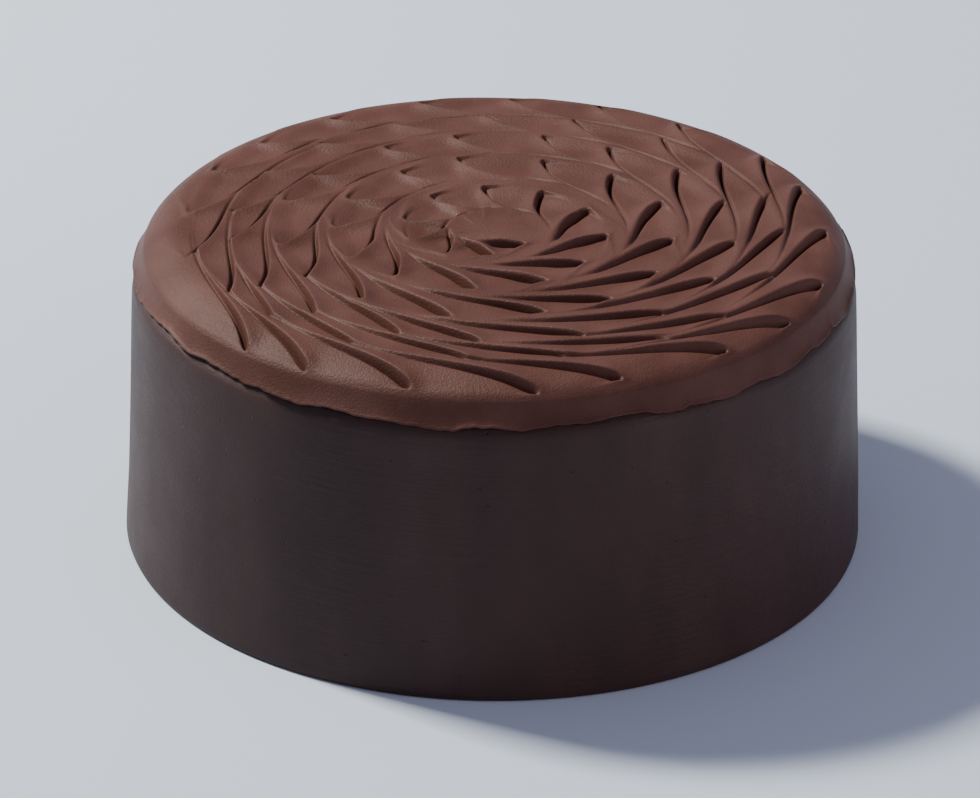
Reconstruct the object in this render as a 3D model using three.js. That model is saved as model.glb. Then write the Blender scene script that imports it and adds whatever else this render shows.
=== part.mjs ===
// A round chocolate layer cake, uncut. A dark, smooth coat runs up the side and
// a swirled layer of lighter frosting lies across the top, ending in a ragged lip.
// Units are millimetres, +Z is up, the origin is the centre of the base.
import * as THREE from 'three';

// ---------------------------------------------------------------- cake body
const BASE_RADIUS = 106.35;        // widest, just above the base edge
const SIDE_TOP_RADIUS = 102.6;     // where the side starts to turn inward
const SIDE_TOP = 75;               // height of that turn
const BASE_EDGE = 1.2;             // small rounding of the bottom edge
const SIDE_UNEVENNESS = 0.25;      // slow in and out of the coated side

// ---------------------------------------------------------------- top frosting
const EDGE_ROUNDING = 18.6;        // broad rounding of the top edge
const EDGE_POWER = 2.4;            // 2 would round it as a circle does
const CROWN = 0.4;                 // slight dome of the top
const RELIEF_RADIUS = 99;          // the swirled part of the top ends here
const LAYER_FLOOR = 81;            // flat top of the body, under the frosting
const RIM_WIDTH = 6;               // in this width the body's top runs up or down to the lip
const COAT_EDGE = 77;              // the coat's unevenness ends here
const GAP = 0.3;                   // clearance between the two solids
const LIP_HEIGHT = 81.4;           // mean height of the ragged lip
const LIP_PROUD = 0.9;             // how far the lip flares from the side
const BAND_HOLLOW = 0.5;           // the band above the lip is slightly hollow
const COAT_INSET = 0.3;            // coat just under the lip, inside the rounding

// Ragged lip: [height, waves round the cake, phase in degrees]
const LIP_WAVES = [[0.5, 2, 40], [0.55, 5, 100], [0.4, 9, 15], [0.3, 17, 200], [0.35, 31, 70]];

// ---------------------------------------------------------------- swirl
// One spatula stroke after another, each a tongue-shaped scoop, laid clockwise in
// a spiral from the middle outwards. Later scoops overlay the earlier ones.
const SWIRL_CENTRE = [-3.15, -5.79];      // of the first turn
const SWIRL_DRIFT = [0.741, 0.846];       // of the centre, each turn
const SWIRL_START = -307.9;               // clockwise angle of the first scoop
const SWIRL_RADIUS = [14.348, 23.465, -1.642, 0.034];   // polynomial in turns
const SWIRL_LIMIT = 97.4;                 // the spiral stops here
const SCOOPS_PER_TURN = [6.515, 0.155];   // at radius 0, and more for each mm
const EVEN_SCOOPS = 4;                    // the first few have no unevenness
const PITCH_UNEVENNESS = 0.3;             // share of the pitch
const RADIUS_UNEVENNESS = 2.2;

const SCOOP_DEPTH = [1.45, -0.004];       // at radius 0, and change for each mm
const DEPTH_UNEVENNESS = 0.3;
const DEPTH_LEAN = 0.35;                  // deeper on one side of the cake
const DEEPEST = -30;                      // degrees round the cake
const PIT_DEPTH = 0.45;                   // deeper still right at the tip
const PIT_LENGTH = 4.5;
const HALF_DEPTH = [6, 0.2];              // arc behind the tip at half the depth
const FADE_POWER = 1.6;
const GROOVE_WIDTH = [3.5, 0.1];          // along the inner edge, wider further back
const BASIN_DEPTH = 1.1;                  // the broad floor beyond the groove
const BASIN_INSET = 7;                    // over which the floor falls from the outer edge
const BASIN_LENGTH = [10, 0.45];
const SWEEP_LIMIT = 12.2;                 // how far the inner edge curves inward
const SWEEP_SHARE = 0.5;                  // of the radius, near the middle
const SWEEP_LENGTH = [0.5, 0.15];         // arc in which the edge curves inward
const SWEEP_VARIATION = 0.4;              // longer strokes on one side of the cake
const SWEEP_LONGEST = -50;                // degrees round the cake
const OUTER_FLARE = 0.12;                 // outward slope of the outer edge
const NOSE_RADIUS = 1.8;                  // rounding of a scoop's tip
const NOSE_VARIATION = 0.4;               // blunter where the strokes are short
const NOSE_REACH = 3.6;                   // from the rounded tip to its sharp corner
const TAIL_LENGTH = [6, 0.8];             // a scoop's whole length
const INNER_WALL = 1.25;                  // wall width for each mm of depth
const WALL_CURVE = 2.4;                   // rounded over at the top, steep at the foot
const OUTER_WALL = [1.2, 0.35];
const CREST_HEIGHT = 0.45;                // thin crest along the outer edge
const CREST_WIDTH = 1.2;
const CREST_LENGTH = 9;
const BANK_HEIGHT = [0.9, -0.002];        // swell along the inner edge
const BANK_WIDTH = 3;
const BANK_CURVE = 1.4;
const REACH_AHEAD = 9;                    // how far a scoop shapes what is round it
const REACH_SIDE = 22;
const RELIEF_FADE = 3;                    // the relief dies out at its outer edge

// ---------------------------------------------------------------- mesh fineness
const SEGMENTS = 144;                     // round the cake
const RING_STEP = 2.9;                    // between the rings of the swirled top
const FIRST_RING = 3.5;
const HALF_RING = 26;                     // within this radius, half the segments
const GRID_SWEEP = 1.0;                   // the grid is swept as the strokes are
const SHOULDER_RINGS = 4;

const DEGREE = Math.PI / 180;

// A repeatable draw between 0 and 1 for one scoop and one purpose.
function draw(index, purpose) {
  const value = Math.sin(index * 12.9898 + purpose * 78.233) * 43758.5453;
  return value - Math.floor(value);
}

function smoothStep(value) {
  const t = Math.min(Math.max(value, 0), 1);
  return t * t * (3 - 2 * t);
}

function linear([start, slope], value) {
  return start + slope * value;
}

function makeScoops() {
  const scoops = [];
  let angle = SWIRL_START;
  for (let index = 0; ; index += 1) {
    const turns = (angle - SWIRL_START) / 360;
    const radius = SWIRL_RADIUS.reduce((sum, factor, power) => sum + factor * turns ** power, 0);
    if (radius > SWIRL_LIMIT) {
      return scoops;
    }
    const step = 360 / linear(SCOOPS_PER_TURN, radius);
    const uneven = index >= EVEN_SCOOPS ? 1 : 0;
    const lean = 1 + DEPTH_LEAN * Math.cos((-angle - DEEPEST) * DEGREE);
    scoops.push({
      angle: (-angle + uneven * (draw(index, 2) - 0.5) * step * PITCH_UNEVENNESS) * DEGREE,
      radius: radius + uneven * (draw(index, 1) - 0.5) * RADIUS_UNEVENNESS,
      x: SWIRL_CENTRE[0] + SWIRL_DRIFT[0] * turns,
      y: SWIRL_CENTRE[1] + SWIRL_DRIFT[1] * turns,
      depth: linear(SCOOP_DEPTH, radius) * (1 + (draw(index, 3) - 0.5) * DEPTH_UNEVENNESS) * lean,
    });
    angle += step;
  }
}

// From -1 to 1, most where the strokes are longest and narrowest.
function strokeLean(scoop) {
  return Math.cos(scoop.angle - SWEEP_LONGEST * DEGREE);
}

// The curve of a scoop's inner edge at an arc length behind its sharp corner:
// how far inward it lies, and its slope.
function innerEdge(scoop, arc) {
  const sweep = Math.min(SWEEP_LIMIT, SWEEP_SHARE * scoop.radius);
  const length = linear(SWEEP_LENGTH, scoop.radius) * (1 + SWEEP_VARIATION * strokeLean(scoop));
  if (arc <= 0) {
    return { offset: -arc * sweep / length, slope: sweep / length };
  }
  const left = Math.exp(-arc / length);
  return { offset: -sweep * (1 - left), slope: left * sweep / length };
}

// Where a point lies in a scoop: arc behind the tip, offset outward, distances
// from the inner and outer edges and inside the whole outline.
function placeInScoop(scoop, x, y) {
  const dx = x - scoop.x;
  const dy = y - scoop.y;
  const turn = scoop.angle - Math.atan2(dy, dx);
  const wrapped = turn - 2 * Math.PI * Math.floor(turn / (2 * Math.PI) + 0.5);
  const arc = scoop.radius * wrapped;
  const outward = Math.hypot(dx, dy) - scoop.radius;
  const edge = innerEdge(scoop, arc + NOSE_REACH);
  const fromInner = (outward - edge.offset) / Math.hypot(1, edge.slope);
  const fromOuter = OUTER_FLARE * (arc + NOSE_REACH) - outward;
  const nose = NOSE_RADIUS * (1 - NOSE_VARIATION * strokeLean(scoop));
  const a = Math.max(nose - fromInner, 0);
  const b = Math.max(nose - fromOuter, 0);
  const inside = a > 0 && b > 0 ? nose - Math.hypot(a, b) : Math.min(fromInner, fromOuter);
  return { arc, outward, behind: Math.max(arc, 0), fromInner, fromOuter, inside };
}

// The height of a scoop's floor: a groove along the inner edge, deepest at the
// tip, and a broad basin beyond it.
function floorHeight(scoop, p, fade) {
  const groove = Math.exp(-Math.max(p.fromInner, 0) / linear(GROOVE_WIDTH, p.behind));
  const basin = BASIN_DEPTH * (1 - groove) * smoothStep(p.fromOuter / BASIN_INSET)
    / (1 + (p.behind / linear(BASIN_LENGTH, scoop.radius)) ** 2);
  const pit = PIT_DEPTH * Math.exp(-((p.behind / PIT_LENGTH) ** 2));
  return -scoop.depth * fade * groove - basin - pit;
}

// The height after one scoop is pressed into the frosting.
function pressScoop(scoop, height, x, y) {
  const p = placeInScoop(scoop, x, y);
  const tail = linear(TAIL_LENGTH, scoop.radius);
  if (p.arc < -REACH_AHEAD || p.arc > tail || Math.abs(p.outward) > REACH_SIDE) {
    return height;
  }
  const fade = 1 / (1 + (p.behind / linear(HALF_DEPTH, scoop.radius)) ** FADE_POWER);
  const tailFade = smoothStep(2 * (tail - p.arc) / tail);
  const inner = smoothStep((p.fromOuter - p.fromInner) / 3 + 0.5);
  const wall = linear(OUTER_WALL, p.behind) * (1 - inner) + INNER_WALL * scoop.depth * inner;
  const rolled = Math.min(Math.max((p.inside + wall) / wall, 0), 1) ** WALL_CURVE;
  const sloped = smoothStep(p.inside / wall + 0.5);
  const pressed = (rolled * inner + sloped * (1 - inner)) * tailFade;

  const away = Math.max(-p.inside - wall, 0);
  const ahead = smoothStep((p.arc + REACH_AHEAD) / (REACH_AHEAD - 1));
  const crest = CREST_HEIGHT * (1 - inner) * Math.exp(-p.behind / CREST_LENGTH)
    * Math.exp(-((away / CREST_WIDTH) ** 1.5));
  const bank = Math.max(linear(BANK_HEIGHT, scoop.radius) - height, 0) * inner * fade
    * Math.exp(-((away / BANK_WIDTH) ** BANK_CURVE));
  const raised = (crest + bank) * ahead * tailFade;
  return height + (floorHeight(scoop, p, fade) - height) * pressed + raised * (1 - pressed);
}

const SCOOPS = makeScoops();

// Height of the swirl above or below the smooth top.
function reliefHeight(x, y) {
  const edge = smoothStep((RELIEF_RADIUS - Math.hypot(x, y)) / RELIEF_FADE);
  return edge * SCOOPS.reduce((height, scoop) => pressScoop(scoop, height, x, y), 0);
}

const ROUNDING_START = SIDE_TOP_RADIUS - EDGE_ROUNDING;

// The rounding of the top edge: height above its start for a distance outward,
// and the other way round.
function edgeCurve(distance) {
  return EDGE_ROUNDING * (1 - (distance / EDGE_ROUNDING) ** EDGE_POWER) ** (1 / EDGE_POWER);
}

// Height of the smooth top at a distance from the axis.
function topHeight(radius) {
  if (radius <= ROUNDING_START) {
    return SIDE_TOP + EDGE_ROUNDING + CROWN * (1 - (radius / ROUNDING_START) ** 2);
  }
  return SIDE_TOP + edgeCurve(radius - ROUNDING_START);
}

// Radius of the smooth outline at a height.
function outlineRadius(height) {
  if (height <= SIDE_TOP) {
    return BASE_RADIUS + (SIDE_TOP_RADIUS - BASE_RADIUS) * height / SIDE_TOP;
  }
  return ROUNDING_START + edgeCurve(height - SIDE_TOP);
}

// The lip's height round the cake.
function lipHeight(angle) {
  return LIP_WAVES.reduce(
    (sum, [height, waves, phase]) => sum + height * Math.sin(waves * angle + phase * DEGREE),
    LIP_HEIGHT,
  );
}

// Slow unevenness of the side, none at the base so that the cake stands round.
function sideWave(angle, height) {
  const slow = Math.sin(3 * angle + 0.035 * height) + 0.6 * Math.sin(7 * angle - 0.05 * height + 1.7);
  return SIDE_UNEVENNESS * slow * smoothStep(height / 20) * smoothStep((COAT_EDGE - height) / 10);
}

// ---------------------------------------------------------------- solids
// A closed solid from rings of points, each ring joined to the next.
class RingSolid {
  constructor() {
    this.positions = [];
    this.faces = [];
  }

  vertex(x, y, z) {
    this.positions.push(x, y, z);
    return this.positions.length / 3 - 1;
  }

  // placeAt gives the radius and the height at an angle round the cake.
  ring(placeAt, turned = 0, count = SEGMENTS) {
    return Array.from({ length: count }, (_, segment) => {
      const angle = 2 * Math.PI * segment / count + turned;
      const [radius, height] = placeAt(angle);
      return this.vertex(radius * Math.cos(angle), radius * Math.sin(angle), height);
    });
  }

  // Joins two rings; seen from outside, the first is above the second. The upper
  // ring has as many points as the lower one, or half as many. Each four-sided
  // face is split along one diagonal or, crossed, along the other.
  join(upper, lower, crossed = false) {
    const many = lower.length;
    const ratio = many / upper.length;
    for (let i = 0; i < upper.length; i += 1) {
      const next = (i + 1) % upper.length;
      const first = i * ratio;
      const last = (first + ratio) % many;
      if (ratio === 2) {
        this.faces.push(upper[i], lower[first], lower[first + 1]);
        this.faces.push(upper[i], lower[first + 1], upper[next]);
        this.faces.push(upper[next], lower[first + 1], lower[last]);
      } else if (crossed) {
        this.faces.push(upper[i], lower[first], lower[last]);
        this.faces.push(upper[i], lower[last], upper[next]);
      } else {
        this.faces.push(upper[i], lower[first], upper[next]);
        this.faces.push(upper[next], lower[first], lower[last]);
      }
    }
  }

  // Closes a ring with a disc whose centre is at a height, facing up or down.
  disc(ring, height, up) {
    const centre = this.vertex(0, 0, height);
    for (let i = 0; i < ring.length; i += 1) {
      const j = (i + 1) % ring.length;
      this.faces.push(...(up ? [centre, ring[i], ring[j]] : [centre, ring[j], ring[i]]));
    }
  }

  mesh(name, material) {
    const geometry = new THREE.BufferGeometry();
    geometry.setAttribute('position', new THREE.Float32BufferAttribute(this.positions, 3));
    geometry.setIndex(this.faces);
    geometry.computeVertexNormals();
    const mesh = new THREE.Mesh(geometry, material);
    mesh.name = name;
    return mesh;
  }
}

const coatRadius = (height) => outlineRadius(height) - COAT_INSET;
const LAYER_RADIUS = coatRadius(LAYER_FLOOR) - RIM_WIDTH;

function makeCakeBody() {
  const solid = new RingSolid();
  const side = [BASE_EDGE, 22, 40, 58, 70];
  const rimHeight = (angle) => lipHeight(angle) - GAP;
  const rings = [
    solid.ring(() => [LAYER_RADIUS, LAYER_FLOOR]),
    solid.ring((angle) => [coatRadius(rimHeight(angle)), rimHeight(angle)]),
    solid.ring(() => [coatRadius(COAT_EDGE), COAT_EDGE]),
    ...side.reverse().map((height) => solid.ring((angle) => [
      outlineRadius(height) + sideWave(angle, height), height,
    ])),
    solid.ring(() => [BASE_RADIUS - BASE_EDGE, 0]),
  ];
  solid.disc(rings[0], LAYER_FLOOR, true);
  for (let i = 1; i < rings.length; i += 1) {
    solid.join(rings[i - 1], rings[i]);
  }
  solid.disc(rings[rings.length - 1], 0, false);
  return solid.mesh('cake_body', new THREE.MeshStandardMaterial({
    color: '#3a2c2c', roughness: 0.5, metalness: 0,
  }));
}

function makeTopFrosting() {
  const solid = new RingSolid();
  const surface = (x, y) => topHeight(Math.hypot(x, y)) + reliefHeight(x, y);
  const count = Math.round((RELIEF_RADIUS - FIRST_RING) / RING_STEP);
  let upper = null;
  for (let index = 0; index <= count; index += 1) {
    const radius = FIRST_RING + (RELIEF_RADIUS - FIRST_RING) * index / count;
    const ring = solid.ring(
      (angle) => [radius, surface(radius * Math.cos(angle), radius * Math.sin(angle))],
      GRID_SWEEP * Math.log(radius / RELIEF_RADIUS),
      radius < HALF_RING ? SEGMENTS / 2 : SEGMENTS,
    );
    if (upper === null) {
      solid.disc(ring, surface(0, 0), true);
    } else {
      solid.join(upper, ring);
    }
    upper = ring;
  }
  const startHeight = topHeight(RELIEF_RADIUS);
  const rings = [];
  for (let step = 1; step <= SHOULDER_RINGS; step += 1) {
    const share = step / SHOULDER_RINGS;
    rings.push(solid.ring((angle) => {
      const height = startHeight + (lipHeight(angle) + 0.5 - startHeight) * share;
      const hollow = BAND_HOLLOW * Math.sin(Math.PI * share);
      return [outlineRadius(height) + LIP_PROUD * share ** 4 - hollow, height];
    }));
  }
  rings.push(solid.ring((angle) => {
    const height = lipHeight(angle);
    return [outlineRadius(height) + LIP_PROUD - 0.2, height];
  }));
  rings.push(solid.ring((angle) => [coatRadius(lipHeight(angle) - GAP), lipHeight(angle)]));
  for (const ring of rings) {
    solid.join(upper, ring);
    upper = ring;
  }
  // The underside is split as the body's top is, so that they stay parallel.
  const layer = solid.ring(() => [LAYER_RADIUS, LAYER_FLOOR + GAP]);
  solid.join(upper, layer, true);
  solid.disc(layer, LAYER_FLOOR + GAP, false);
  return solid.mesh('top_frosting', new THREE.MeshStandardMaterial({
    color: '#6d4a40', roughness: 0.4, metalness: 0,
  }));
}

const cake = new THREE.Group();
cake.add(makeCakeBody(), makeTopFrosting());

export default cake;
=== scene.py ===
"""A round chocolate layer cake: dark coated side, swirled frosting across the top.

Sizes are in millimetres and angles in degrees, unless a comment says otherwise. The
meshes are made in metres.
"""
import math

import bpy
import numpy as np
from mathutils import Matrix, Vector


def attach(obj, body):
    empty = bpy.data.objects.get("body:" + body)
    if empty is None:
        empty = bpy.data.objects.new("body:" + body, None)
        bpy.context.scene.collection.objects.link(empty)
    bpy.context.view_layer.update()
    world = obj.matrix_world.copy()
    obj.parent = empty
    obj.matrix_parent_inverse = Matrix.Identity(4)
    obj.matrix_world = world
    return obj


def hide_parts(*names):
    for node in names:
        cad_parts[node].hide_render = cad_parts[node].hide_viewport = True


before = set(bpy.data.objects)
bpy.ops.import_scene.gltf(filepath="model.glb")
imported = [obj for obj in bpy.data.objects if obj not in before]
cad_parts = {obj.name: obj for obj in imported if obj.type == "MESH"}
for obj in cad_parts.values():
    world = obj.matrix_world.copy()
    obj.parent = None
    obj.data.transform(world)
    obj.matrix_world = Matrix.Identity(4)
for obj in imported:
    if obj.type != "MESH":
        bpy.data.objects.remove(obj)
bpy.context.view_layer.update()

MM = 0.001
DEGREE = math.pi / 180

# ------------------------------------------------------------------ camera
# Fitted to the photograph, which is 980 pixels wide.
IMAGE_WIDTH = 980
FOCAL_PIXELS = 4500
SENSOR_WIDTH = 36
CAMERA_PLACE = (1.88, -1153.11, 625.73)
CAMERA_TILT = 27.01
CAMERA_PAN = -0.14
CAMERA_ROLL = 0.43
CLIP_START = 0.01                       # metres


def make_camera():
    data = bpy.data.cameras.new("camera")
    data.sensor_width = SENSOR_WIDTH
    data.lens = SENSOR_WIDTH * FOCAL_PIXELS / IMAGE_WIDTH
    data.clip_start = CLIP_START
    camera = bpy.data.objects.new("camera", data)
    pan = CAMERA_PAN * DEGREE
    tilt = CAMERA_TILT * DEGREE
    roll = CAMERA_ROLL * DEGREE
    forward = Vector((math.sin(pan) * math.cos(tilt), math.cos(pan) * math.cos(tilt), -math.sin(tilt)))
    level = Vector((math.cos(pan), -math.sin(pan), 0))
    rise = level.cross(forward)
    right = math.cos(roll) * level + math.sin(roll) * rise
    up = -math.sin(roll) * level + math.cos(roll) * rise
    axes = Matrix((right, up, -forward)).transposed()
    camera.matrix_world = Matrix.Translation(Vector(CAMERA_PLACE) * MM) @ axes.to_4x4()
    bpy.context.collection.objects.link(camera)
    bpy.context.scene.camera = camera


# ------------------------------------------------------------------ side and layer
BASE_RADIUS = 106.35                    # of the side, run down to the base
SIDE_TOP_RADIUS = 102.6                 # where the side starts to turn inward
SIDE_TOP = 75                           # height of that turn
BASE_EDGE = [[0.35, 0.4], [1.2, 0]]     # rounding of the bottom edge: inset and height
EDGE_ROUNDING = 18.6                    # broad rounding of the top edge
EDGE_POWER = 2.4                        # 2 would round it as a circle does
CROWN = 0.4                             # slight dome of the top
LAYER_FLOOR = 81                        # flat top of the body, under the frosting
RIM_WIDTH = 6                           # in this width the body's top runs to the lip
GAP = 0.3                               # clearance between body and frosting
COAT_INSET = 0.3                        # under the lip the coat lies inside the outline
COAT_EDGE = 77                          # the side's unevenness ends at this height
SIDE_UNEVENNESS = 0.25
SIDE_WAVES = [[1, 3, 0.035, 0], [0.6, 7, -0.05, 1.7]]   # size, waves, twist and phase in radians
WAVE_FADE_BASE = 20                     # the waves die out towards the base
WAVE_FADE_TOP = 10                      # and towards the lip

# ------------------------------------------------------------------ lip
# Each wave is its rise, its number round the cake and its phase.
LIP_HEIGHT = 81.4                       # mean height of the ragged lip
LIP_WAVES = [[0.5, 2, 40], [0.55, 5, 100], [0.4, 9, 15], [0.3, 17, 200], [0.35, 31, 70]]
LIP_TEARS = 0.3                         # short waves on top of those
TEAR_WAVES = [23, 190]                  # their number round the cake, from and up to
LIP_PROUD = [0.32, 0.24]                # how far the lip stands off, and its unevenness
PROUD_WAVES = [5, 40]
BURR_POWER = 12                         # the lip stands off in a thin edge at its foot
BAND_HOLLOW = 0.5                       # the band above the lip is slightly hollow
BAND_END = 0.3                          # the band ends this far above the lip
LIP_TUCK = 0.15                         # the lip's lowest edge lies this far inward
RAGGED_COUNT = 16                       # about as many waves make up an uneven line
RAGGED_POWER = 0.7                      # shorter waves are smaller by this power

# ------------------------------------------------------------------ swirl
# One spatula stroke after another, each a tongue-shaped scoop, laid clockwise in a
# spiral from the middle outwards. Each scoop is pressed into the ones before it. Its
# place is a point near its tip, and its arc runs back from there. The pairs that linear
# reads here are a value at zero and its change with each mm, of radius or of arc.
SWIRL_CENTRE = [-3.15, -5.79]           # of the spiral, at its first scoop
SWIRL_DRIFT = [0.741, 0.846]            # of the centre, each turn
SWIRL_START = -307.9                    # clockwise angle of the first scoop
SWIRL_RADIUS = [14.348, 23.465, -1.642, 0.034]   # polynomial in turns
SWIRL_LIMIT = 97.4                      # the spiral stops here
SCOOPS_PER_TURN = [6.515, 0.155]
EVEN_SCOOPS = 4                         # the places of the first few are even
PITCH_UNEVENNESS = 0.3                  # share of the pitch
RADIUS_UNEVENNESS = 2.2
RELIEF_RADIUS = 99                      # the swirled part of the top ends here
RELIEF_FADE = 3                         # and its relief dies out over this width

SCOOP_DEPTH = [1.35, -0.003]            # of the groove along the inner edge
DEPTH_UNEVENNESS = 0.3
DEPTH_LEAN = 0.05                       # deeper on one side of the cake
DEEPEST = -30
HALF_DEPTH = [6, 0.2]                   # arc behind the tip at half the depth
FADE_POWER = 1.6
GROOVE_WIDTH = [1.9, 0.12]
PIT_DEPTH = 0.25                        # deeper still right at the tip
PIT_LENGTH = 4.5
SLIT_DEPTH = 2.2                        # narrow slit at the foot of the inner wall
SLIT_PLACE = 0.3                        # from the inner edge
SLIT_WIDTH = 0.5
SLIT_MARGIN = 0.7                       # the slit ends this far outside the scoop
SLIT_BLEND = 0.6
BASIN_DEPTH = 1.1                       # the broad floor beyond the groove
BASIN_INSET = 7                         # over which the floor falls from the outer edge
BASIN_LENGTH = [10, 0.45]

SWEEP_LIMIT = 12.2                      # how far the inner edge curves inward
SWEEP_SHARE = 0.5                       # of the radius, near the middle
SWEEP_LENGTH = [0.5, 0.15]              # arc in which the edge curves inward
SWEEP_VARIATION = 0.4                   # longer strokes on one side of the cake
SWEEP_LONGEST = -50
OUTER_FLARE = 0.12                      # outward slope of the outer edge
NOSE_RADIUS = 2.0                       # rounding of a scoop's tip
NOSE_VARIATION = 0.4                    # blunter where the strokes are short
NOSE_REACH = 3.6                        # the edges would meet this far ahead of the place
HOOK = 1.5                              # how far the inner wall goes on round the tip
WALL_BLEND = 3                          # width in which one wall gives way to the other
TAIL_LENGTH = [6, 0.8]                  # a scoop's whole length

INNER_WALL = 0.9                        # wall width for each mm of depth
WALL_LEAN = 0.35                        # wider walls on one side of the cake
WALL_WIDEST = 10
WALL_CURVE = 2.0                        # rounded over at the top, steep at the foot
OUTER_WALL = [0.8, 0.35]
CREST_HEIGHT = 0.45                     # thin crest along the outer edge
CREST_WIDTH = 0.8
CREST_CURVE = 1.5
CREST_LENGTH = 14
BANK_HEIGHT = [0.9, -0.002]             # swell along the inner edge
BANK_WIDTH = 2.8
BANK_CURVE = 1.4
REACH_AHEAD = 9                         # how far a scoop shapes what is round it
REACH_SIDE = 22

# Each kind of unevenness has draws of its own, told apart by these numbers.
RADIUS_DRAW = 1
PITCH_DRAW = 2
DEPTH_DRAW = 3
WAVE_DRAW = 7
DRAW_FACTORS = [12.9898, 78.233]        # of the index and of what is drawn
DRAW_SCALE = 43758.5453

# ------------------------------------------------------------------ mesh fineness
CORE_CELLS = 312                        # across the middle of the top, each way
CORE_RADIUS = 40
RING_STEP = 0.33                        # between the rings outside the core
TOP_PIECES = 3                          # pieces that the rings are split into
GRID_SWEEP = 1.0                        # the rings are turned as the strokes are
BAND_RINGS = 20
SIDE_SEGMENTS = 720
SIDE_RINGS = 50
SIDE_HEIGHTS = [COAT_EDGE - 2, 1.2]     # of the first and the last of those rings


def draw(index, purpose):
    """A repeatable draw between 0 and 1 for one index and one purpose."""
    value = np.sin(index * DRAW_FACTORS[0] + purpose * DRAW_FACTORS[1]) * DRAW_SCALE
    return value - np.floor(value)


def smooth_step(value):
    t = np.clip(value, 0, 1)
    return t * t * (3 - 2 * t)


def linear(pair, value):
    return pair[0] + pair[1] * value


# ------------------------------------------------------------------ shape of the swirl
def make_scoops():
    """The scoops' places and depths along the spiral, from the middle outwards."""
    scoops = []
    angle = SWIRL_START
    while True:
        index = len(scoops)
        turns = (angle - SWIRL_START) / 360
        radius = sum(factor * turns**power for power, factor in enumerate(SWIRL_RADIUS))
        if radius > SWIRL_LIMIT:
            return scoops
        step = 360 / linear(SCOOPS_PER_TURN, radius)
        uneven = 1 if index >= EVEN_SCOOPS else 0
        pitch_change = uneven * (draw(index, PITCH_DRAW) - 0.5) * step * PITCH_UNEVENNESS
        radius_change = uneven * (draw(index, RADIUS_DRAW) - 0.5) * RADIUS_UNEVENNESS
        depth_change = 1 + (draw(index, DEPTH_DRAW) - 0.5) * DEPTH_UNEVENNESS
        lean = 1 + DEPTH_LEAN * math.cos((-angle - DEEPEST) * DEGREE)
        scoops.append({
            "angle": (-angle + pitch_change) * DEGREE,
            "radius": radius + radius_change,
            "x": SWIRL_CENTRE[0] + SWIRL_DRIFT[0] * turns,
            "y": SWIRL_CENTRE[1] + SWIRL_DRIFT[1] * turns,
            "depth": linear(SCOOP_DEPTH, radius) * depth_change * lean,
        })
        angle += step


def stroke_lean(scoop):
    """From -1 to 1, most where the inner edges bend over the longest arc."""
    return math.cos(scoop["angle"] - SWEEP_LONGEST * DEGREE)


def inner_edge(scoop, arc):
    """Where the inner edge lies, as a distance outward, and how steeply it bends in."""
    sweep = min(SWEEP_LIMIT, SWEEP_SHARE * scoop["radius"])
    length = linear(SWEEP_LENGTH, scoop["radius"]) * (1 + SWEEP_VARIATION * stroke_lean(scoop))
    left = np.exp(-np.maximum(arc, 0) / length)
    offset = np.where(arc > 0, -sweep * (1 - left), -arc * sweep / length)
    return offset, left * sweep / length


def edge_distances(scoop, arc, outward):
    """How far points lie inside the inner edge, the outer edge and the whole outline."""
    offset, slope = inner_edge(scoop, arc + NOSE_REACH)
    from_inner = (outward - offset) / np.hypot(1, slope)
    from_outer = OUTER_FLARE * (arc + NOSE_REACH) - outward
    nose = NOSE_RADIUS * (1 - NOSE_VARIATION * stroke_lean(scoop))
    a = np.maximum(nose - from_inner, 0)
    b = np.maximum(nose - from_outer, 0)
    rounded = nose - np.hypot(a, b)
    inside = np.where((a > 0) & (b > 0), rounded, np.minimum(from_inner, from_outer))
    return from_inner, from_outer, inside


def floor_height(scoop, behind, fade, from_inner, from_outer):
    """A groove along the inner edge, deepest at the tip, and a broad basin beyond it."""
    groove = np.exp(-np.maximum(from_inner, 0) / linear(GROOVE_WIDTH, behind))
    basin = BASIN_DEPTH * (1 - groove) * smooth_step(from_outer / BASIN_INSET)
    basin /= 1 + (behind / linear(BASIN_LENGTH, scoop["radius"])) ** 2
    pit = PIT_DEPTH * np.exp(-((behind / PIT_LENGTH) ** 2))
    return -scoop["depth"] * fade * groove - basin - pit


def slit_depth(from_inner, inside):
    across = np.exp(-(((from_inner - SLIT_PLACE) / SLIT_WIDTH) ** 2))
    return SLIT_DEPTH * across * smooth_step((inside + SLIT_MARGIN) / SLIT_BLEND)


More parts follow.
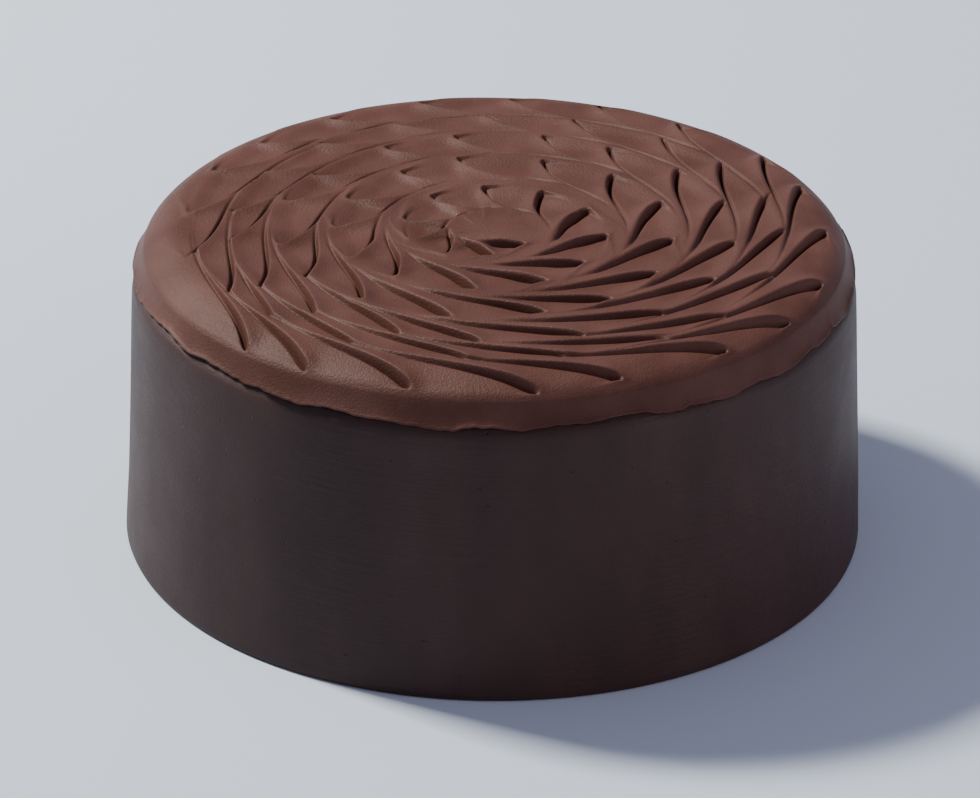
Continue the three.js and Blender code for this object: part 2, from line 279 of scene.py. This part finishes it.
def press_scoop(scoop, height, x, y):
    """Presses one scoop into the frosting, changing the heights in place."""
    dx = x - scoop["x"]
    dy = y - scoop["y"]
    turn = scoop["angle"] - np.arctan2(dy, dx)
    turn -= 2 * np.pi * np.floor(turn / (2 * np.pi) + 0.5)
    arc = scoop["radius"] * turn
    outward = np.hypot(dx, dy) - scoop["radius"]
    tail = linear(TAIL_LENGTH, scoop["radius"])
    near = (arc > -REACH_AHEAD) & (arc < tail) & (np.abs(outward) < REACH_SIDE)
    arc = arc[near]
    outward = outward[near]
    old = height[near]

    from_inner, from_outer, inside = edge_distances(scoop, arc, outward)
    behind = np.maximum(arc, 0)
    fade = 1 / (1 + (behind / linear(HALF_DEPTH, scoop["radius"])) ** FADE_POWER)
    tail_fade = smooth_step(2 * (tail - arc) / tail)

    # The inner wall is rolled over, the outer one slopes evenly.
    inner = smooth_step((from_outer - from_inner + HOOK) / WALL_BLEND + 0.5)
    inner_wall = INNER_WALL * (1 + WALL_LEAN * math.cos(scoop["angle"] - WALL_WIDEST * DEGREE))
    wall = linear(OUTER_WALL, behind) * (1 - inner) + inner_wall * scoop["depth"] * inner
    rolled = np.clip((inside + wall) / wall, 0, 1) ** WALL_CURVE
    sloped = smooth_step(inside / wall + 0.5)
    pressed = (rolled * inner + sloped * (1 - inner)) * tail_fade

    # Pushed-up frosting: a crest outside the outer edge, a bank along the inner one.
    away = np.maximum(-inside - wall, 0)
    ahead = smooth_step((arc + REACH_AHEAD) / (REACH_AHEAD - 1))
    crest = CREST_HEIGHT * (1 - inner) * np.exp(-behind / CREST_LENGTH)
    crest *= np.exp(-((away / CREST_WIDTH) ** CREST_CURVE))
    bank = inner * np.exp(-((away / BANK_WIDTH) ** BANK_CURVE)) * fade
    bank *= np.maximum(linear(BANK_HEIGHT, scoop["radius"]) - old, 0)
    raised = (crest + bank) * ahead * tail_fade

    floor = floor_height(scoop, behind, fade, from_inner, from_outer)
    slit = slit_depth(from_inner, inside) * fade * tail_fade
    height[near] = old + (floor - old) * pressed + raised * (1 - pressed) - slit


def relief_height(x, y):
    """Height of the swirl above or below the smooth top."""
    height = np.zeros_like(x)
    for scoop in make_scoops():
        press_scoop(scoop, height, x, y)
    return height * smooth_step((RELIEF_RADIUS - np.hypot(x, y)) / RELIEF_FADE)


# ------------------------------------------------------------------ shape of the cake
ROUNDING_START = SIDE_TOP_RADIUS - EDGE_ROUNDING


def edge_curve(distance):
    """The rounding of the top edge: its height at a distance outward, or the reverse."""
    share = np.clip(distance / EDGE_ROUNDING, 0, 1)
    return EDGE_ROUNDING * (1 - share**EDGE_POWER) ** (1 / EDGE_POWER)


def top_height(radius):
    """Height of the smooth top at a distance from the axis."""
    dome = SIDE_TOP + EDGE_ROUNDING + CROWN * (1 - (radius / ROUNDING_START) ** 2)
    return np.where(radius <= ROUNDING_START, dome, SIDE_TOP + edge_curve(radius - ROUNDING_START))


def outline_radius(height):
    """Radius of the smooth outline at a height."""
    height = np.asarray(height, dtype=float)
    cone = BASE_RADIUS + (SIDE_TOP_RADIUS - BASE_RADIUS) * height / SIDE_TOP
    return np.where(height <= SIDE_TOP, cone, ROUNDING_START + edge_curve(height - SIDE_TOP))


def coat_radius(height):
    return outline_radius(height) - COAT_INSET


LAYER_RADIUS = float(coat_radius(LAYER_FLOOR)) - RIM_WIDTH


def ragged(angle, first, last):
    """Uneven line round the cake, from many waves, about -1 to 1."""
    total = np.zeros_like(angle)
    power = 0
    for waves in range(first, last, max(1, (last - first) // RAGGED_COUNT)):
        size = (first / waves) ** RAGGED_POWER
        total += size * np.sin(waves * angle + 2 * np.pi * draw(waves, WAVE_DRAW))
        power += size * size / 2
    return total / (2 * math.sqrt(power))


def lip_height(angle):
    height = np.full_like(angle, LIP_HEIGHT)
    for rise, waves, phase in LIP_WAVES:
        height += rise * np.sin(waves * angle + phase * DEGREE)
    return height + LIP_TEARS * ragged(angle, *TEAR_WAVES)


def lip_flare(angle, share):
    """How far the frosting stands off the outline, at a share of the way to the lip."""
    proud = linear(LIP_PROUD, ragged(angle, *PROUD_WAVES))
    return proud * share**BURR_POWER - BAND_HOLLOW * math.sin(math.pi * share)


def side_wave(angle, height):
    """Slow unevenness of the side, none at the base and none at the coat's edge."""
    slow = sum(
        size * np.sin(waves * angle + twist * height + phase)
        for size, waves, twist, phase in SIDE_WAVES
    )
    fade = smooth_step(height / WAVE_FADE_BASE) * smooth_step((COAT_EDGE - height) / WAVE_FADE_TOP)
    return SIDE_UNEVENNESS * slow * fade


# ------------------------------------------------------------------ meshes
def disc_grid(cells, radius):
    """A square grid spread evenly over a disc: its points, faces and border."""
    steps = np.linspace(-1, 1, cells + 1)
    a, b = np.meshgrid(steps, steps)
    wide = np.abs(a) > np.abs(b)
    size = np.where(wide, a, b)
    with np.errstate(divide="ignore", invalid="ignore"):
        share = np.where(wide, b / a, a / b)
    share = np.nan_to_num(share) * np.pi / 4
    x = radius * size * np.where(wide, np.cos(share), np.sin(share))
    y = radius * size * np.where(wide, np.sin(share), np.cos(share))
    index = np.arange((cells + 1) ** 2).reshape(cells + 1, cells + 1)
    faces = np.stack([index[:-1, :-1], index[:-1, 1:], index[1:, 1:], index[1:, :-1]], -1)
    border = np.concatenate([index[0, :-1], index[:-1, -1], index[-1, :0:-1], index[:0:-1, 0]])
    return x.ravel(), y.ravel(), faces.reshape(-1, 4), border


def ring_faces(upper, lower):
    """Quads between two rings of as many points; the first is the upper one."""
    return np.stack([upper, lower, np.roll(lower, -1), np.roll(upper, -1)], -1)


def ring_points(angle, radius, height):
    """Points round the axis; radius and height are one for all or one for each."""
    radius = np.broadcast_to(radius, angle.shape)
    height = np.broadcast_to(height, angle.shape)
    return np.stack([radius * np.cos(angle), radius * np.sin(angle), height], -1)


def mesh_object(name, points, faces, material):
    mesh = bpy.data.meshes.new(name)
    mesh.from_pydata([tuple(p) for p in points * MM], [], faces)
    mesh.polygons.foreach_set("use_smooth", np.ones(len(mesh.polygons), dtype=bool))
    mesh.materials.append(material)
    mesh.update()
    piece = bpy.data.objects.new(name, mesh)
    bpy.context.collection.objects.link(piece)
    return piece


def vertex_normals(points, faces):
    """Normals of the whole surface, so that pieces split from it meet unseen."""
    corners = [points[faces[:, i]] for i in range(4)]
    face_normals = np.cross(corners[2] - corners[0], corners[3] - corners[1])
    normals = np.zeros_like(points)
    for i in range(4):
        np.add.at(normals, faces[:, i], face_normals)
    return normals / np.linalg.norm(normals, axis=1, keepdims=True)


def piece_of(name, points, normals, faces, material):
    """A piece made of some of a surface's faces."""
    used, faces = np.unique(faces, return_inverse=True)
    piece = mesh_object(name, points[used], faces.reshape(-1, 4).tolist(), material)
    piece.data.normals_split_custom_set_from_vertices(normals[used].tolist())
    return piece


# ------------------------------------------------------------------ frosting
def make_top(steps):
    """The swirled top: a core grid, then rings swept as the strokes are."""
    x, y, core_faces, upper = disc_grid(CORE_CELLS, CORE_RADIUS)
    angle = np.arctan2(y[upper], x[upper])
    all_x = [x]
    all_y = [y]
    faces = [core_faces]
    for step in range(1, steps + 1):
        radius = CORE_RADIUS + (RELIEF_RADIUS - CORE_RADIUS) * step / steps
        turned = angle + GRID_SWEEP * math.log(radius / CORE_RADIUS)
        lower = np.arange(len(angle)) + len(x) + (step - 1) * len(angle)
        all_x.append(radius * np.cos(turned))
        all_y.append(radius * np.sin(turned))
        faces.append(ring_faces(upper, lower))
        upper = lower
    x = np.concatenate(all_x)
    y = np.concatenate(all_y)
    z = top_height(np.hypot(x, y)) + relief_height(x, y)
    return np.stack([x, y, z], -1), faces, upper, turned


def band_profile(angle):
    """Radius and height of each ring from the top's edge to under the lip and in."""
    start = float(top_height(float(RELIEF_RADIUS)))
    lip = lip_height(angle)
    profile = []
    for step in range(1, BAND_RINGS + 1):
        share = step / BAND_RINGS
        height = start + (lip + BAND_END - start) * share
        profile.append((outline_radius(height) + lip_flare(angle, share), height))
    profile.append((outline_radius(lip) + lip_flare(angle, 1) - LIP_TUCK, lip))
    profile.append((coat_radius(lip - GAP), lip))
    profile.append((LAYER_RADIUS, LAYER_FLOOR + GAP))
    return profile


def make_frosting(material):
    """The frosting as one surface, split into pieces of a moderate size."""
    steps = round((RELIEF_RADIUS - CORE_RADIUS) / RING_STEP)
    top, faces, upper, angle = make_top(steps)
    points = [top]
    count = len(top)
    for radius, height in band_profile(angle):
        lower = np.arange(count, count + len(angle))
        points.append(ring_points(angle, radius, height))
        faces.append(ring_faces(upper, lower))
        count += len(angle)
        upper = lower
    points = np.concatenate(points)
    groups = {"frosting_core": faces[0], "frosting_rim": np.concatenate(faces[1 + steps:])}
    for part in range(TOP_PIECES):
        first = 1 + steps * part // TOP_PIECES
        last = 1 + steps * (part + 1) // TOP_PIECES
        groups[f"frosting_ring_{part + 1}"] = np.concatenate(faces[first:last])
    normals = vertex_normals(points, np.concatenate(faces))
    return [piece_of(name, points, normals, part, material) for name, part in groups.items()]


# ------------------------------------------------------------------ coated side
class Shell:
    """Points and faces that grow downward ring by ring."""

    def __init__(self, angle):
        self.angle = angle
        self.points = []
        self.faces = []
        self.count = 0
        self.last = None

    def add_points(self, points):
        first = self.count
        self.points.append(points)
        self.count += len(points)
        return np.arange(first, self.count)

    def add_ring(self, radius, height):
        """Adds a ring and joins it to the one before."""
        ring = self.add_points(ring_points(self.angle, radius, height))
        if self.last is not None:
            self.faces += ring_faces(self.last, ring).tolist()
        self.last = ring

    def close(self, height, up):
        """Closes the last ring with a disc, facing up or down."""
        centre = int(self.add_points(np.array([[0.0, 0.0, height]]))[0])
        following = np.roll(self.last, -1)
        for a, b in zip(self.last.tolist(), following.tolist()):
            self.faces.append((centre, a, b) if up else (centre, b, a))

    def build(self, name, material):
        return mesh_object(name, np.concatenate(self.points), self.faces, material)


def make_side(material):
    """The coated body, from its flat top under the frosting down to the base."""
    angle = np.arange(SIDE_SEGMENTS) * 2 * np.pi / SIDE_SEGMENTS
    rim = lip_height(angle) - GAP
    shell = Shell(angle)
    shell.add_ring(LAYER_RADIUS, LAYER_FLOOR)
    shell.close(LAYER_FLOOR, True)
    shell.add_ring(coat_radius(rim), rim)
    shell.add_ring(coat_radius(COAT_EDGE), COAT_EDGE)
    for height in np.linspace(*SIDE_HEIGHTS, SIDE_RINGS):
        shell.add_ring(outline_radius(height) + side_wave(angle, height), height)
    for inset, height in BASE_EDGE:
        shell.add_ring(BASE_RADIUS - inset, height)
    shell.close(0, False)
    return shell.build("side_coat", material)


# ------------------------------------------------------------------ materials
# Noise: scale, detail and roughness
PATCHES = (55, 4, 0.5)                  # slow change of the frosting's colour
FROSTING_GRAIN = (1500, 4, 0.65)
SMEARS = (42, 5, 0.6)                   # slow change of the coat's colour
SMEAR_STRETCH = (1, 1, 0.35)            # longer up and down
GLOSS = (60, 4, 0.6)
BRUSH_LINES = (60, 4, 0.6)
BRUSH_STRETCH = (1, 1, 14)              # drawn out into level lines
SIDE_GRAIN = (1300, 4, 0.7)
PORES = (420, 1, 0.5)

# Colours at places along the noise, dark to light
FROSTING_COLOURS = [
    (0.35, (0.060, 0.0228, 0.0152)),
    (0.65, (0.080, 0.0335, 0.0246)),
]
SIDE_COLOURS = [
    (0.35, (0.027, 0.0130, 0.0112)),
    (0.55, (0.034, 0.0162, 0.0140)),
    (0.75, (0.041, 0.0200, 0.0172)),
]
PORE_STEPS = [
    (0.16, (0, 0, 0)),                  # only the lowest noise is a pit
    (0.24, (1, 1, 1)),
]

# Bumps: strength, and depth in metres
FROSTING_BUMP = (0.8, 0.0003)
BRUSH_BUMP = (0.3, 0.0006)
SIDE_BUMP = (0.5, 0.0003)
PORE_BUMP = (0.6, 0.0006)

FROSTING_ROUGHNESS = 0.47
FROSTING_SPECULAR = 0.14
SIDE_ROUGHNESS = (0.42, 0.62)
SIDE_SPECULAR = 0.2
FLOOR_COLOUR = (0.46, 0.54, 0.62, 1)
FLOOR_ROUGHNESS = 0.8


def new_material(name):
    material = bpy.data.materials.new(name)
    material.use_nodes = True
    nodes = material.node_tree.nodes
    return material, nodes, material.node_tree.links, nodes["Principled BSDF"]


def add_noise(nodes, links, coords, scale, detail, rough):
    noise = nodes.new("ShaderNodeTexNoise")
    noise.inputs["Scale"].default_value = scale
    noise.inputs["Detail"].default_value = detail
    noise.inputs["Roughness"].default_value = rough
    links.new(coords, noise.inputs["Vector"])
    return noise.outputs["Fac"]


def add_ramp(nodes, links, value, stops):
    ramp = nodes.new("ShaderNodeValToRGB")
    elements = ramp.color_ramp.elements
    while len(elements) < len(stops):
        elements.new(0.5)
    for element, (place, colour) in zip(elements, stops):
        element.position = place
        element.color = (*colour, 1)
    links.new(value, ramp.inputs["Fac"])
    return ramp.outputs["Color"]


def scaled_coords(nodes, links, coords, scale):
    """Coordinates multiplied by a scale for each axis."""
    mapping = nodes.new("ShaderNodeMapping")
    mapping.inputs["Scale"].default_value = scale
    links.new(coords, mapping.inputs["Vector"])
    return mapping.outputs["Vector"]


def add_range(nodes, links, value, limits):
    """A value between 0 and 1, spread between two limits."""
    spread = nodes.new("ShaderNodeMapRange")
    spread.inputs["To Min"].default_value = limits[0]
    spread.inputs["To Max"].default_value = limits[1]
    links.new(value, spread.inputs["Value"])
    return spread.outputs["Result"]


def add_bump(nodes, links, height, strength, distance, before=None):
    bump = nodes.new("ShaderNodeBump")
    bump.inputs["Strength"].default_value = strength
    bump.inputs["Distance"].default_value = distance
    links.new(height, bump.inputs["Height"])
    if before is not None:
        links.new(before, bump.inputs["Normal"])
    return bump.outputs["Normal"]


def make_frosting_material():
    """Brown in slow patches of two close shades, with a fine grain."""
    material, nodes, links, shader = new_material("frosting")
    coords = nodes.new("ShaderNodeTexCoord").outputs["Object"]
    patches = add_noise(nodes, links, coords, *PATCHES)
    colour = add_ramp(nodes, links, patches, FROSTING_COLOURS)
    links.new(colour, shader.inputs["Base Color"])
    shader.inputs["Roughness"].default_value = FROSTING_ROUGHNESS
    shader.inputs["Specular IOR Level"].default_value = FROSTING_SPECULAR
    grain = add_noise(nodes, links, coords, *FROSTING_GRAIN)
    normal = add_bump(nodes, links, grain, *FROSTING_BUMP)
    links.new(normal, shader.inputs["Normal"])
    return material


def make_side_material():
    """Nearly black coat, brushed round the cake, with a few pits."""
    material, nodes, links, shader = new_material("side_coat")
    coords = nodes.new("ShaderNodeTexCoord").outputs["Object"]
    smear_coords = scaled_coords(nodes, links, coords, SMEAR_STRETCH)
    smears = add_noise(nodes, links, smear_coords, *SMEARS)
    colour = add_ramp(nodes, links, smears, SIDE_COLOURS)
    links.new(colour, shader.inputs["Base Color"])
    gloss = add_noise(nodes, links, coords, *GLOSS)
    roughness = add_range(nodes, links, gloss, SIDE_ROUGHNESS)
    links.new(roughness, shader.inputs["Roughness"])
    shader.inputs["Specular IOR Level"].default_value = SIDE_SPECULAR
    brush_coords = scaled_coords(nodes, links, coords, BRUSH_STRETCH)
    brushed = add_noise(nodes, links, brush_coords, *BRUSH_LINES)
    grain = add_noise(nodes, links, coords, *SIDE_GRAIN)
    pores = add_noise(nodes, links, coords, *PORES)
    pits = add_ramp(nodes, links, pores, PORE_STEPS)
    normal = add_bump(nodes, links, brushed, *BRUSH_BUMP)
    normal = add_bump(nodes, links, grain, *SIDE_BUMP, normal)
    normal = add_bump(nodes, links, pits, *PORE_BUMP, normal)
    links.new(normal, shader.inputs["Normal"])
    return material


# ------------------------------------------------------------------ stage and lights
FLOOR_SIZE = 12                         # metres, as are the lights' distances and sizes
LIGHT_CENTRE = Vector((0, 0, 0.05))
KEY_LIGHT = {
    "direction": (-0.56, 0.315, 0.766),
    "distance": 2.2,
    "size": 0.3,
    "power": 114,
    "colour": (1, 0.95, 0.89),
}
FILL_LIGHT = {
    "direction": (0.85, -0.5, 0.22),
    "distance": 1.6,
    "size": 1.2,
    "power": 11,
    "colour": (1, 0.82, 0.87),
}
SKY_COLOUR = (0.74, 0.74, 1.0, 1)
SKY_STRENGTH = 0.45


def make_stage():
    bpy.ops.mesh.primitive_plane_add(size=FLOOR_SIZE, location=(0, 0, 0))
    floor = bpy.context.object
    floor.name = "floor"
    material, _, _, shader = new_material("floor")
    shader.inputs["Base Color"].default_value = FLOOR_COLOUR
    shader.inputs["Roughness"].default_value = FLOOR_ROUGHNESS
    floor.data.materials.append(material)


def add_area_light(name, values):
    data = bpy.data.lights.new(name, "AREA")
    data.size = values["size"]
    data.energy = values["power"]
    data.color = values["colour"]
    light = bpy.data.objects.new(name, data)
    away = Vector(values["direction"]).normalized()
    light.location = away * values["distance"] + LIGHT_CENTRE
    light.rotation_mode = "QUATERNION"
    light.rotation_quaternion = away.to_track_quat("Z", "Y")
    bpy.context.collection.objects.link(light)


def make_lights():
    add_area_light("key", KEY_LIGHT)
    add_area_light("fill", FILL_LIGHT)
    world = bpy.data.worlds.new("world")
    world.use_nodes = True
    background = world.node_tree.nodes["Background"]
    background.inputs["Color"].default_value = SKY_COLOUR
    background.inputs["Strength"].default_value = SKY_STRENGTH
    bpy.context.scene.world = world


# ------------------------------------------------------------------ the scene
make_camera()

for frosting in make_frosting(make_frosting_material()):
    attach(frosting, "root")
    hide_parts("top_frosting")

side = make_side(make_side_material())
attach(side, "root")
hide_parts("cake_body")

make_stage()
make_lights()
